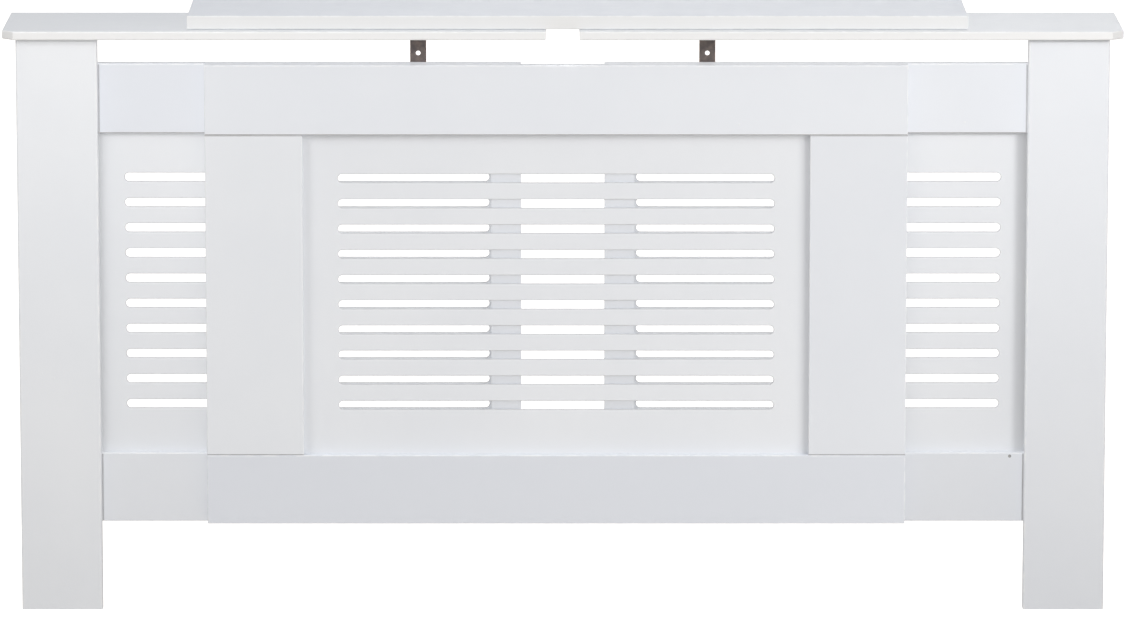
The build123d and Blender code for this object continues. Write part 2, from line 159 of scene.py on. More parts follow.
def rollerCoatGroup():
    # lacquer film: fine stipple on a slow wave, and cloudy patches where it lies thicker
    inputs = ["Stipple Scale", "Wave Scale", "Wave Share"]
    tree, given = newGroup("rollerCoat", inputs, ["Height", "Cloud", "Film"])
    stipple = addNoise(tree, given["Vector"], given["Stipple Scale"], detail=3.0, roughness=0.55)
    wave = addNoise(tree, given["Vector"], given["Wave Scale"], detail=1.0)
    cloud = addNoise(tree, given["Vector"], scale=5.0)
    film = addNoise(tree, given["Vector"], scale=42.0, detail=4.0, roughness=0.6)
    addNode(tree, "NodeGroupOutput", {
        "Height": addMath(tree, "MULTIPLY_ADD", wave, given["Wave Share"], stipple),
        "Cloud": addRange(tree, cloud, low=0.3, high=0.7),
        "Film": addRange(tree, film, low=0.3, high=0.7),
    })
    return tree


def arrisWearGroup():
    # the mesh marks its eased edges, and noise breaks the mark up along them
    tree, given = newGroup("arrisWear", ["Patch Scale", "Amount"], ["Mask"])
    patches = addNoise(tree, given["Vector"], given["Patch Scale"], detail=3.0, roughness=0.6)
    broken = addRange(tree, patches, low=0.42, high=0.62)
    worn = addMath(tree, "MULTIPLY", readMark(tree, "arris"), broken)
    addNode(tree, "NodeGroupOutput", {"Mask": addMath(tree, "MULTIPLY", worn, given["Amount"])})
    return tree


def settledDustGroup():
    # fine dust lies only on what faces up
    tree, given = newGroup("settledDust", ["Speck Scale", "Amount"], ["Mask"])
    specks = addNoise(tree, given["Vector"], given["Speck Scale"], detail=5.0, roughness=0.7)
    drift = addRange(tree, specks, low=0.35, high=0.75)
    settled = addMath(tree, "MULTIPLY", addFacing(tree, "Z", low=0.75, high=0.98), drift)
    addNode(tree, "NodeGroupOutput", {"Mask": addMath(tree, "MULTIPLY", settled, given["Amount"])})
    return tree


def woodGrainGroup():
    # growth rings as stretched bands, with short dark fibres between them
    tree, given = newGroup("woodGrain", ["Ring Scale", "Fibre Scale"], ["Figure", "Fibres", "Height"])
    along = drawOut(tree, given["Vector"], share=0.06)
    inputs = {"Vector": along, "Scale": given["Ring Scale"], "Distortion": 5.0, "Detail": 2.0}
    rings = addNode(tree, "ShaderNodeTexWave", inputs, bands_direction="X").outputs["Fac"]
    fibres = addNoise(tree, along, given["Fibre Scale"], detail=4.0, roughness=0.65)
    fibreMask = addRange(tree, fibres, low=0.42, high=0.68)
    height = addMath(tree, "MULTIPLY_ADD", rings, 0.5, fibreMask)
    addNode(tree, "NodeGroupOutput", {"Figure": rings, "Fibres": fibreMask, "Height": height})
    return tree


def metalMottleGroup():
    # patchy plating or heat colour, with fine drawn lines in it
    tree, given = newGroup("metalMottle", ["Patch Scale", "Line Scale"], ["Patches", "Lines"])
    patches = addNoise(tree, given["Vector"], given["Patch Scale"], detail=4.0, roughness=0.6)
    drawn = drawOut(tree, given["Vector"], share=0.08)
    lines = addNoise(tree, drawn, given["Line Scale"], detail=3.0, roughness=0.7)
    addNode(tree, "NodeGroupOutput", {
        "Patches": addRange(tree, patches, low=0.35, high=0.65), "Lines": lines,
    })
    return tree


groups = {
    "rollerCoat": rollerCoatGroup(),
    "arrisWear": arrisWearGroup(),
    "settledDust": settledDustGroup(),
    "woodGrain": woodGrainGroup(),
    "metalMottle": metalMottleGroup(),
}


def camelCase(label):
    return label[0].lower() + label[1:].replace(" ", "")


def placeGroup(tree, name, coords, **values):
    # each value is named as its socket is, in camelCase
    node = addNode(tree, "ShaderNodeGroup", {"Vector": coords}, node_tree=groups[name])
    for socket in node.inputs:
        if camelCase(socket.name) in values:
            socket.default_value = values[camelCase(socket.name)]
    return node.outputs


# Finishes

def newMaterial(name):
    material = bpy.data.materials.new(name)
    material.use_nodes = True
    tree = material.node_tree
    coords = addNode(tree, "ShaderNodeTexCoord").outputs["Object"]
    return material, tree, tree.nodes["Principled BSDF"], coords


def wearEdges(tree, coords, colour, bare, scale, amount):
    worn = placeGroup(tree, "arrisWear", coords, patchScale=scale, amount=amount)
    return mixColour(tree, worn["Mask"], colour, bare)


def setSurface(tree, shader, colour, rough):
    tree.links.new(colour, shader.inputs["Base Color"])
    tree.links.new(rough, shader.inputs["Roughness"])


def setBump(tree, shader, height, strength, distance):
    inputs = {"Height": height, "Strength": strength, "Distance": distance}
    tree.links.new(addOut(tree, "ShaderNodeBump", inputs), shader.inputs["Normal"])


boardPaint = {
    "paint": (0.83, 0.845, 0.865, 1),
    "thickPaint": (0.80, 0.818, 0.845, 1),
    "edgePaint": (0.88, 0.885, 0.89, 1),
    # a darker, bluer tone that each piece leans to: partly its own paint, partly painted shade
    "deepTone": (0.70, 0.725, 0.78, 1),
    "cutEdge": (0.822, 0.821, 0.815, 1),
    # the dark of open joints, also used as painted shade under the shelf, under the top rails and on
    # the slots' walls
    "openJoint": (0.25, 0.23, 0.22, 1),
    "backPrimer": (0.74, 0.74, 0.72, 1),
    "dust": (0.72, 0.71, 0.69, 1),
    "roughLow": 0.34,
    "roughHigh": 0.46,
    "stippleScale": 620.0,
    "bumpDistance": 0.00022,
}
panelPaint = {
    **boardPaint,
    "paint": (0.835, 0.85, 0.873, 1),
    "thickPaint": (0.81, 0.827, 0.855, 1),
    "deepTone": (0.71, 0.73, 0.77, 1),
    "cutEdge": (0.83, 0.83, 0.825, 1),
    "backPrimer": (0.75, 0.75, 0.735, 1),
    "roughLow": 0.38,
    "roughHigh": 0.50,
    "stippleScale": 760.0,
    "bumpDistance": 0.00018,
}
paintWork = {
    "thinEven": 0.6,  # how much primer shows through on the wall side
    "thinPatchy": 0.25,
    "patchyGrime": 0.72,  # what is left of a joint's dark and painted shade where the film is thick
    "thinDulls": 0.2,  # what each adds to the roughness
    "dustDulls": 0.8,
    "jointDulls": 0.35,
}


def paintedMaterial(name, look):
    material, tree, shader, coords = newMaterial(name)
    coat = placeGroup(
        tree, "rollerCoat", coords, stippleScale=look["stippleScale"], waveScale=26.0, waveShare=1.6,
    )
    colour = mixColour(tree, coat["Cloud"], look["paint"], look["thickPaint"])
    # each piece leans to the darker, bluer tone by its own amount: partly random paint tone, partly
    # painted shade on pieces that stand in less light
    colour = mixColour(tree, readMark(tree, "boardTone"), colour, look["deepTone"])
    colour = mixColour(tree, readMark(tree, "cutEdge"), colour, look["cutEdge"])

    # the side to the wall has one thin coat, so it is duller and a little warmer
    wallward = addFacing(tree, "Y", low=0.7, high=0.95)
    thin = addMath(tree, "MULTIPLY", wallward, paintWork["thinEven"])
    thinCoat = addMath(tree, "MULTIPLY_ADD", coat["Film"], paintWork["thinPatchy"], thin)
    thinMask = addMath(tree, "MULTIPLY", thinCoat, wallward)
    colour = mixColour(tree, thinMask, colour, look["backPrimer"])

    colour = wearEdges(tree, coords, colour, look["edgePaint"], scale=60.0, amount=0.8)
    dust = placeGroup(tree, "settledDust", coords, speckScale=180.0, amount=0.10)
    colour = mixColour(tree, dust["Mask"], colour, look["dust"])
    # dark joints, and painted shade under the shelf, under the top rails and on the slots' walls
    jointShade = readMark(tree, "openJoint")
    patchy = addRange(tree, coat["Film"], 0.0, 1.0, 1.0, paintWork["patchyGrime"])
    colour = mixColour(tree, addMath(tree, "MULTIPLY", jointShade, patchy), colour, look["openJoint"])

    rough = addRange(tree, coat["Film"], 0.0, 1.0, look["roughLow"], look["roughHigh"])
    dulls = ((thinMask, "thinDulls"), (dust["Mask"], "dustDulls"), (jointShade, "jointDulls"))
    for mask, share in dulls:
        rough = addMath(tree, "MULTIPLY_ADD", mask, paintWork[share], rough)
    setSurface(tree, shader, colour, rough)
    setBump(tree, shader, coat["Height"], strength=0.35, distance=look["bumpDistance"])
    return material


pineLook = {
    "early": (0.70, 0.55, 0.37, 1),
    "late": (0.52, 0.36, 0.21, 1),
    "fibre": (0.40, 0.28, 0.17, 1),
    "fibreShare": 0.45,
    "ringScale": 60.0,
    "fibreScale": 900.0,
    "roughLow": 0.70,
    "roughHigh": 0.86,
}
beechLook = {
    "early": (0.78, 0.60, 0.42, 1),
    "late": (0.70, 0.51, 0.34, 1),
    "fibre": (0.52, 0.35, 0.22, 1),
    "fibreShare": 0.45,
    "ringScale": 240.0,
    "fibreScale": 1600.0,
    "roughLow": 0.47,
    "roughHigh": 0.63,
}


def woodMaterial(name, look, turn):
    material, tree, shader, coords = newMaterial(name)
    turned = addOut(tree, "ShaderNodeMapping", {"Vector": coords, "Rotation": turn})
    scales = {key: look[key] for key in ("ringScale", "fibreScale")}
    grain = placeGroup(tree, "woodGrain", turned, **scales)
    colour = mixColour(tree, grain["Figure"], look["early"], look["late"])
    fibres = addMath(tree, "MULTIPLY", grain["Fibres"], look["fibreShare"])
    colour = mixColour(tree, fibres, colour, look["fibre"])
    colour = wearEdges(tree, coords, colour, look["early"], scale=90.0, amount=0.5)
    rough = addRange(tree, grain["Fibres"], 0.0, 1.0, look["roughLow"], look["roughHigh"])
    setSurface(tree, shader, colour, rough)
    setBump(tree, shader, grain["Height"], strength=0.5, distance=0.0003)
    return material


bronzedLook = {
    "plate": (0.125, 0.108, 0.104, 1),
    "patch": (0.205, 0.165, 0.148, 1),  # heat colour
    "bareEdge": (0.62, 0.46, 0.38, 1),
    "wear": 0.9,
    "patchScale": 120.0,
    "lineScale": 1500.0,
    "metallic": 0.55,
    "roughLow": 0.36,
    "roughHigh": 0.56,
    "bump": 0.15,
    "bumpDistance": 0.0002,
}
zincLook = {
    "plate": (0.66, 0.66, 0.64, 1),
    "patch": (0.58, 0.60, 0.62, 1),  # bluer plating
    "bareEdge": (0.74, 0.73, 0.70, 1),
    "wear": 0.7,
    "patchScale": 260.0,
    "lineScale": 2400.0,
    "metallic": 1.0,
    "roughLow": 0.26,
    "roughHigh": 0.44,
    "bump": 0.1,
    "bumpDistance": 0.0001,
}
pinLook = {
    "plate": (0.30, 0.295, 0.29, 1),
    "patch": (0.46, 0.46, 0.45, 1),  # primer left on the head
    "patchScale": 900.0,
    "lineScale": 3000.0,
    "metallic": 0.3,
    "roughLow": 0.5,
    "roughHigh": 0.7,
}


def metalMaterial(name, look):
    material, tree, shader, coords = newMaterial(name)
    scales = {key: look[key] for key in ("patchScale", "lineScale")}
    mottle = placeGroup(tree, "metalMottle", coords, **scales)
    colour = mixColour(tree, mottle["Patches"], look["plate"], look["patch"])
    if "bareEdge" in look:
        colour = wearEdges(tree, coords, colour, look["bareEdge"], scale=300.0, amount=look["wear"])
        setBump(tree, shader, mottle["Lines"], look["bump"], look["bumpDistance"])
    rough = addRange(tree, mottle["Lines"], 0.3, 0.7, look["roughLow"], look["roughHigh"])
    setSurface(tree, shader, colour, rough)
    shader.inputs["Metallic"].default_value = look["metallic"]
    return material


nylonLook = {
    "nylon": (0.84, 0.84, 0.81, 1),
    "flowMark": (0.78, 0.78, 0.74, 1),
    "roughLow": 0.36,
    "roughHigh": 0.52,
}


def nylonMaterial():
    look = nylonLook
    material, tree, shader, coords = newMaterial("guideNylon")
    coat = placeGroup(tree, "rollerCoat", coords, stippleScale=1500.0, waveScale=90.0, waveShare=0.8)
    colour = mixColour(tree, coat["Film"], look["nylon"], look["flowMark"])
    rough = addRange(tree, coat["Film"], 0.0, 1.0, look["roughLow"], look["roughHigh"])
    setSurface(tree, shader, colour, rough)
    shader.inputs["Subsurface Weight"].default_value = 0.15
    shader.inputs["Subsurface Scale"].default_value = 0.002
    setBump(tree, shader, coat["Height"], strength=0.25, distance=0.0001)
    return material


foamLook = {
    "foam": (0.80, 0.80, 0.78, 1),
    "cell": (0.62, 0.62, 0.60, 1),
    "cellScale": 1400.0,
    "cellRough": 0.98,
    "foamRough": 0.86,
}


def foamMaterial():
    look = foamLook
    material, tree, shader, coords = newMaterial("padFoam")
    inputs = {"Vector": coords, "Scale": look["cellScale"]}
    cells = addNode(tree, "ShaderNodeTexVoronoi", inputs).outputs["Distance"]
    depth = addRange(tree, cells, low=0.0, high=0.7)
    colour = mixColour(tree, depth, look["cell"], look["foam"])
    rough = addRange(tree, depth, 0.0, 1.0, look["cellRough"], look["foamRough"])
    setSurface(tree, shader, colour, rough)
    setBump(tree, shader, depth, strength=0.6, distance=0.0002)
    return material


upright = (0, 0, 0)
lyingAlongY = (math.radians(90), 0, 0)
finishes = {
    "painted_board": paintedMaterial("satinBoard", boardPaint),
    "painted_panel": paintedMaterial("satinPanel", panelPaint),
    "raw_board": woodMaterial("sawnPineUpright", pineLook, upright),
    "raw_cleat": woodMaterial("sawnPineLying", pineLook, lyingAlongY),
    "beech": woodMaterial("turnedBeech", beechLook, upright),
    "bronzed_steel": metalMaterial("bronzedSteel", bronzedLook),
    "zinc_steel": metalMaterial("zincSteel", zincLook),
    "guide_plastic": nylonMaterial(),
    "felt": foamMaterial(),
    "bare_pin": metalMaterial("barePin", pinLook),
}
print("finishes made:", len(finishes))


# Pieces

slotOf = {part["node"]: part["material_slot"] for part in frame["record"]["subparts"]}
bodyNodes = frame["record"]["behaviour"]["bodies"]
bodyOf = {name: body for body, names in bodyNodes.items() for name in names}
dressed = []  # every piece and its body, for the lamps


def addPiece(name, mesh, body, slotName, replaced=(), material=None):
    mesh.materials.clear()
    mesh.materials.append(material or finishes[slotName])
    piece = bpy.data.objects.new(name, mesh)
    bpy.context.scene.collection.objects.link(piece)
    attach(piece, body)
    if replaced:
        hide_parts(*replaced)
    dressed.append((piece, body))
    return piece


def mergedCopy(nodeName):
    work = bmesh.new()
    work.from_mesh(nodes[nodeName].data)
    bmesh.ops.remove_doubles(work, verts=work.verts, dist=weld)
    return work


def boxOf(points):
    low = Vector([min(point[axis] for point in points) for axis in range(3)])
    high = Vector([max(point[axis] for point in points) for axis in range(3)])
    return low, high


def innerX(nodeName):
    # how far the node's inner side is from the middle
    return min(abs(corner.x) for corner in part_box(nodeName))


# Sawn and sanded pieces: the CAD outline with every long arris eased

easing = {
    "board": 0.0006,
    "boardSag": 0.00085,
    "strip": 0.0007,
    "thinStrip": 0.0003,
    "moulding": 0.0005,
    "shortest": 0.007,  # shorter edges belong to holes and bends, and stay
    "steps": 3,
    "widest": 0.0028,  # a narrower slanting face is an arris
    "square": 0.999,  # a face slants if no part of its normal is larger
    "facing": 0.99,  # a front face looks forward by more than this
    "cutTilt": 0.8,  # the edge faces of a lying board look up or down less than this
    "smallFace": 2e-5,  # square metres: a smaller face belongs to a hole or a bend, and is smooth
    "flatAngle": 0.5,  # degrees, as are the next two
    "arrisAngle": 50,
    "sharpAngle": 35,
}
# how far each piece leans to the darker, bluer tone: partly random from piece to piece, partly painted
# shade that darkens pieces standing in less light
pieceTonesAndShade = {
    "left_leg": 0.02, "right_leg": 0.25, "left_top_rail": 0.66, "right_top_rail": 0.44,
    "centre_top_rail": 0.31, "left_bottom_rail": 0.22, "right_bottom_rail": 0.36,
    "centre_bottom_rail": 0.66, "centre_left_stile": 0.06, "centre_right_stile": 0.34,
    "left_shelf": 0.10, "right_shelf": 0.0, "top_board": 0.74,
    "left_end_batten": 0.30, "right_end_batten": 0.30, "others": 0.06,
}

# Paint doesn't reach into the joints, so they show as fine dark lines; the same dark mark is painted
# shade under the shelf and under the top rails
joints = {
    "besideLeg": {"width": 0.0020, "shade": 0.50},
    "stileEnd": {"width": 0.0018, "shade": 0.52},
    # the front of a leg's top: an open joint, and painted shade under the shelf
    "legTop": {"width": 0.0040, "shade": 0.25},
    "underRail": {"width": 0.0018, "shade": 0.65},  # the lower front arris of a top rail, painted dark as shade under the rail
    "depth": 0.0011,
    "wall": 0.00015,
}


def easeEdges(work, width, underWidth):
    flat = math.radians(easing["flatAngle"])
    bmesh.ops.dissolve_limit(work, angle_limit=flat, verts=work.verts, edges=work.edges)
    longArrises = [
        edge for edge in work.edges
        if edge.is_manifold and edge.is_convex
        and edge.calc_length() > easing["shortest"]
        and edge.calc_face_angle() > math.radians(easing["arrisAngle"])
    ]
    low = boxOf([vert.co for vert in work.verts])[0]
    under = [
        edge for edge in longArrises
        if underWidth and all(max(vert.co.z - low.z, vert.co.y - low.y) < level for vert in edge.verts)
    ]
    others = [edge for edge in longArrises if edge not in under]
    for edges, offset in ((under, underWidth), (others, width)):
        edges = [edge for edge in edges if edge.is_valid]
        if edges:
            bmesh.ops.bevel(
                work, geom=edges, offset=offset, offset_type="OFFSET", affect="EDGES",
                segments=easing["steps"], profile=0.5, clamp_overlap=False,
            )


def cutAcross(work, axis, places):
    normal = Vector((0, 0, 0))
    normal[axis] = 1
    for place in places:
        everything = work.verts[:] + work.edges[:] + work.faces[:]
        bmesh.ops.bisect_plane(work, geom=everything, plane_co=normal * place, plane_no=normal)
    work.normal_update()


def openGroove(work, axis, low, high, shade):
    # a narrow band of the front face is sunk and painted dark: partly the open joint, partly painted
    # shade
    cutAcross(work, axis, (low, high))
    front = min(vert.co.y for vert in work.verts)
    band = []
    for face in work.faces:
        middle = face.calc_center_median()
        inFront = face.normal.y < -easing["facing"] and middle.y < front + level
        if inFront and low < middle[axis] < high:
            band.append(face)
    sides = bmesh.ops.inset_individual(
        work, faces=band, thickness=joints["wall"], depth=-joints["depth"], use_even_offset=True,
    )["faces"]
    for face in band + sides:
        face[work.faces.layers.float["openJoint"]] = shade


def openEnd(work, axis, end, joint):
    # the front edge of an end is set back, so its joint stays open, and is painted dark: partly the
    # open joint, partly painted shade
    low, high = boxOf([vert.co for vert in work.verts])
    place = (low if end < 0 else high)[axis] - end * joint["width"]
    wall = end * joints["wall"]
    cutAcross(work, axis, (place, place + wall))
    bottom = low.y + joints["depth"]
    for vert in work.verts:
        if (vert.co[axis] - place - wall) * end > -rounding and vert.co.y < bottom:
            vert.co.y = bottom
    work.normal_update()
    for face in work.faces:
        middle = face.calc_center_median()
        if (middle[axis] - place) * end > 0 and middle.y < bottom + level:
            face[work.faces.layers.float["openJoint"]] = joint["shade"]


def sink(work, depth):
    # the loose board presses its pads down, so only a hair of a gap shows
    low, high = boxOf([vert.co for vert in work.verts])
    for vert in work.verts:
        if vert.co.z < (low.z + high.z) / 2:
            vert.co.z -= depth


def openJointsAndShade(work, nodeName):
    if nodeName.endswith("_leg"):
        openEnd(work, 2, 1, joints["legTop"])
    elif nodeName.endswith("_stile"):
        openEnd(work, 2, 1, joints["stileEnd"])
        openEnd(work, 2, -1, joints["stileEnd"])
    elif nodeName.endswith("_rail") and not nodeName.startswith("centre"):
        # the joint lies along the edge of the leg that laps over the rail
        name = nodeName.split("_")[0]
        side = ends[name + "_end"]
        legEdge = side * innerX(name + "_leg")
        low, high = sorted((legEdge, legEdge - side * joints["besideLeg"]["width"]))
        openGroove(work, 0, low, high, joints["besideLeg"]["shade"])
    # the lower front arris of a top rail is painted dark as shade under the rail
    if nodeName.endswith("top_rail"):
        low = boxOf([vert.co for vert in work.verts])[0]
        width = joints["underRail"]["width"]
        for face in work.faces:
            middle = face.calc_center_median()
            if middle.z < low.z + width and middle.y < low.y + width:
                face[work.faces.layers.float["openJoint"]] = joints["underRail"]["shade"]


def markFaces(work, nodeName):
    arris = work.faces.layers.float["arris"]
    boardTone = work.faces.layers.float["boardTone"]
    cutEdge = work.faces.layers.float["cutEdge"]
    lyingBoard = nodeName.endswith("shelf") or nodeName == "top_board"
    for face in work.faces:
        longest = max(edge.calc_length() for edge in face.edges)
        slanted = max(abs(value) for value in face.normal) < easing["square"]
        narrow = face.calc_area() / longest < easing["widest"]
        face[arris] = 1.0 if slanted and narrow else 0.0
        face[boardTone] = pieceTonesAndShade.get(nodeName, pieceTonesAndShade["others"])
        face[cutEdge] = 1.0 if lyingBoard and abs(face.normal.z) < easing["cutTilt"] else 0.0
        face.smooth = slanted or face.calc_area() < easing["smallFace"]


def easedPiece(nodeName, width, material=None):
    work = mergedCopy(nodeName)
    for label in ("arris", "boardTone", "cutEdge", "openJoint"):
        work.faces.layers.float.new(label)
    easeEdges(work, width, joints["underRail"]["width"] if nodeName.endswith("top_rail") else 0.0)
    openJointsAndShade(work, nodeName)
    if nodeName == "top_board":
        sink(work, easing["boardSag"])
    bmesh.ops.dissolve_degenerate(work, dist=weld, edges=work.edges)
    markFaces(work, nodeName)
    mesh = bpy.data.meshes.new(nodeName + "_eased")
    work.to_mesh(mesh)
    rounded = [face.smooth for face in work.faces]
    work.free()
    storedNormals = mesh.attributes.get("custom_normal")
    if storedNormals:
        mesh.attributes.remove(storedNormals)
    mesh.set_sharp_from_angle(angle=math.radians(easing["sharpAngle"]))
    mesh.polygons.foreach_set("use_smooth", rounded)  # the broad faces stay flat
    addPiece(nodeName + "_eased", mesh, bodyOf[nodeName], slotOf[nodeName], [nodeName], material)


easingOf = {
    "painted_board": "board",
    "raw_board": "board",
    "bronzed_steel": "strip",
    "guide_plastic": "moulding",
}
for nodeName, slotName in sorted(slotOf.items()):
    if nodeName.endswith("wall_bracket"):
        easedPiece(nodeName, easing["thinStrip"])
    elif nodeName.endswith("cleat"):
        easedPiece(nodeName, easing["board"], finishes["raw_cleat"])
    elif slotName in easingOf:
        easedPiece(nodeName, easing[easingOf[slotName]])
print("boards, brackets and shoes eased")

for nodeName in ("left_shelf_dowels", "right_shelf_dowels"):
    nodes[nodeName].data.materials.clear()
    nodes[nodeName].data.materials.append(finishes["beech"])


# Geometry trees, and the points that they stand on

def newShape(name, inputs):
    inputs = {**inputs, materialSocket: ["Finish"]}
    tree, given = newTree(name, "GeometryNodeTree", inputs, {geometrySocket: ["Geometry"]})
    tree.is_modifier = True
    return tree, given


def addSmooth(tree, geometry, smooth=True):
    return addOut(tree, "GeometryNodeSetShadeSmooth", {"Geometry": geometry, "Shade Smooth": smooth})


def addJoined(tree, parts):
    return addOut(tree, "GeometryNodeJoinGeometry", {0: parts})


def addWelded(tree, parts):
    inputs = {"Geometry": addJoined(tree, parts), "Distance": weld}
    return addOut(tree, "GeometryNodeMergeByDistance", inputs)


def addFlipped(tree, mesh):
    return addOut(tree, "GeometryNodeFlipFaces", {"Mesh": mesh})


def addInstances(tree, points, instance, inputs=None):
    inputs = {"Points": points, "Instance": instance, **(inputs or {})}
    return addOut(tree, "GeometryNodeInstanceOnPoints", inputs)


def addSwept(tree, path, profile):
    upwards = addOut(tree, "GeometryNodeSetCurveNormal", {"Curve": path}, mode="Z_UP")
    return addOut(tree, "GeometryNodeCurveToMesh", {"Curve": upwards, "Profile Curve": profile})


def addHalves(tree, thickness):
    return [addMath(tree, "MULTIPLY", thickness, share) for share in (0.5, -0.5)]


def addBothSides(tree, face, thickness):
    # the face goes half the thickness up, and a turned copy of it as far down
    up, down = (addVector(tree, z=half) for half in addHalves(tree, thickness))
    return [
        addOut(tree, "GeometryNodeTransform", {"Geometry": side, "Translation": shift})
        for side, shift in ((face, up), (addFlipped(tree, face), down))
    ]


def readNamed(tree, name, kind="FLOAT"):
    return addOut(tree, "GeometryNodeInputNamedAttribute", {"Name": name}, data_type=kind)


def closeTree(tree, geometry, material):
    # instances are made real and get their finish last
    real = addOut(tree, "GeometryNodeRealizeInstances", {"Geometry": geometry})
    finished = addOut(tree, "GeometryNodeSetMaterial", {"Geometry": real, "Material": material})
    addNode(tree, "NodeGroupOutput", {0: finished})


def seatMesh(name, places, **columns):
    # points that each carry one value of every column
    mesh = bpy.data.meshes.new(name)
    mesh.from_pydata(places, [], [])
    for label, values in columns.items():
        isVector = isinstance(values[0], Vector)
        stored = mesh.attributes.new(label, "FLOAT_VECTOR" if isVector else "FLOAT", "POINT")
        for item, value in zip(stored.data, values):
            setattr(item, "vector" if isVector else "value", value)
    return mesh


def runTree(tree, name, slotName, settings, seats=None, material=None):
    # each setting is named as its socket is, in camelCase
    settings = {**settings, "finish": material or finishes[slotName]}
    maker = bpy.data.objects.new(name, seats or bpy.data.meshes.new(name))
    bpy.context.scene.collection.objects.link(maker)
    modifier = maker.modifiers.new("build", "NODES")
    modifier.node_group = tree
    for socket in tree.interface.items_tree:
        if socket.in_out == "INPUT" and camelCase(socket.name) in settings:
            modifier[socket.identifier] = settings[camelCase(socket.name)]
    view = bpy.context.evaluated_depsgraph_get()
    mesh = bpy.data.meshes.new_from_object(maker.evaluated_get(view))
    maker.modifiers.remove(modifier)
    bpy.data.objects.remove(maker)
    mesh.name = name
    return mesh


# Slotted grille panels

grille = {
    "slotCount": 10,
    "slotPitch": 0.0348,
    "slotHeight": 0.0116,
    "slotRound": 0.499,  # of its height: just under half keeps the two fillets of an end apart
    "slotEase": 0.0014,
    "slotSteps": 10,
    "routedShade": 0.30,  # the routed walls of the slots painted darker: thin paint there, and painted shade in the slots
    "panelCorner": 0.0010,
    "panelEase": 0.0005,
    "panelSteps": 3,
    "easeSteps": 4,
    "easedLean": 0.55,  # 1 on the flat faces and 0 on the straight walls
    "easedSpread": 0.42,
    "flatLean": 0.9,
    "endSlotInnerMargin": 0.0435,
    "endSlotOuterMargin": 0.0345,
    "centreSlotMargin": 0.048,
    "endSlotRise": 0.002,
    "centreSlotRise": 0.003,
}


def addFillets(tree, curve, steps, radius):
    inputs = {"Curve": curve, "Count": steps, "Radius": radius, "Limit Radius": True}
    return addOut(tree, "GeometryNodeFilletCurve", inputs, mode="POLY")


def easedOutline(tree, given, form, corner, outward):
    # an outline swept with a round-edged wall; outward is 1 round a slot and -1 round the panel
    sizes = ("Width", "Height", "Steps", "Ease")
    width, height, steps, ease = (given[form + " " + size] for size in sizes)
    rectangle = "GeometryNodeCurvePrimitiveQuadrilateral"
    outline = addOut(tree, rectangle, {"Width": width, "Height": height})
    path = addFillets(tree, outline, steps, corner)

    half, under = addHalves(tree, given["Thickness"])
    flare = addMath(tree, "MULTIPLY", ease, outward)
    corners = ((flare, half), (0.0, half), (0.0, under), (flare, under))
    inputs = {"Point %d" % number: addVector(tree, x, y) for number, (x, y) in enumerate(corners, 1)}
    section = addOut(tree, rectangle, inputs, mode="POINTS")
    opened = addOut(tree, "GeometryNodeSetSplineCyclic", {"Geometry": section, "Cyclic": False})
    profile = addFillets(tree, opened, given["Ease Steps"], ease)
    return addSmooth(tree, addSwept(tree, path, profile))


def storeOnFaces(tree, geometry, name, value):
    inputs = {"Geometry": geometry, "Name": name, "Value": value}
    return addOut(tree, "GeometryNodeStoreNamedAttribute", inputs, data_type="FLOAT", domain="FACE")


def slottedPanelTree():
    tree, given = newShape("slottedPanel", {
        floatSocket: [
            "Thickness", "Panel Width", "Panel Height", "Panel Corner", "Panel Ease",
            "Slot Width", "Slot Height", "Slot Round", "Slot Ease", "Slot Pitch",
            "Routed Shade", "Eased Lean", "Eased Spread", "Flat Lean",
        ],
        countSocket: ["Slot Count", "Slot Steps", "Panel Steps", "Ease Steps"],
        vectorSocket: ["First Slot", "Panel Middle"],
    })
    column = addOut(tree, "GeometryNodeMeshLine", {
        "Count": given["Slot Count"], "Start Location": given["First Slot"],
        "Offset": addVector(tree, y=given["Slot Pitch"]),
    })
    corner = addMath(tree, "MULTIPLY", given["Slot Height"], given["Slot Round"])
    placed = addInstances(tree, column, easedOutline(tree, given, "Slot", corner, 1.0))
    slots = addOut(tree, "GeometryNodeRealizeInstances", {"Geometry": placed})
    rim = addFlipped(tree, easedOutline(tree, given, "Panel", given["Panel Corner"], -1.0))
    walls = addWelded(tree, [slots, rim])  # the fillets start on the profile's ends

    # the front face is filled between the walls' own front edges, and the back face mirrors it
    depth = takeAxis(tree, addOut(tree, "GeometryNodeInputPosition"), "Z")
    frontDepth = addMath(tree, "MULTIPLY_ADD", given["Thickness"], 0.5, -level / 2)
    atFront = addMath(tree, "GREATER_THAN", depth, frontDepth)
    edges = addOut(tree, "GeometryNodeMeshToCurve", {"Mesh": walls, "Selection": atFront})
    face = addOut(tree, "GeometryNodeFillCurve", {"Curve": edges}, mode="TRIANGLES")
    faces = addBothSides(tree, addSmooth(tree, face, False), given["Thickness"])
    closed = addWelded(tree, [walls, *faces])

    # slot and rim walls that slant are the eased edges
    lean = addMath(tree, "ABSOLUTE", takeAxis(tree, addOut(tree, "GeometryNodeInputNormal"), "Z"))
    eased = addMath(tree, "COMPARE", lean, given["Eased Lean"], given["Eased Spread"])
    # the straight walls of slots and rim are painted darker: thin paint, and painted shade in the slots
    walled = addMath(tree, "LESS_THAN", lean, given["Flat Lean"])
    routed = addMath(tree, "MULTIPLY", walled, given["Routed Shade"])
    marked = storeOnFaces(tree, storeOnFaces(tree, closed, "arris", eased), "openJoint", routed)
    stood = addOut(tree, "GeometryNodeTransform", {
        "Geometry": marked, "Translation": given["Panel Middle"],
        "Rotation": Euler((math.radians(90), 0, 0)),
    })
    closeTree(tree, stood, given["Finish"])
    return tree


panelTree = slottedPanelTree()


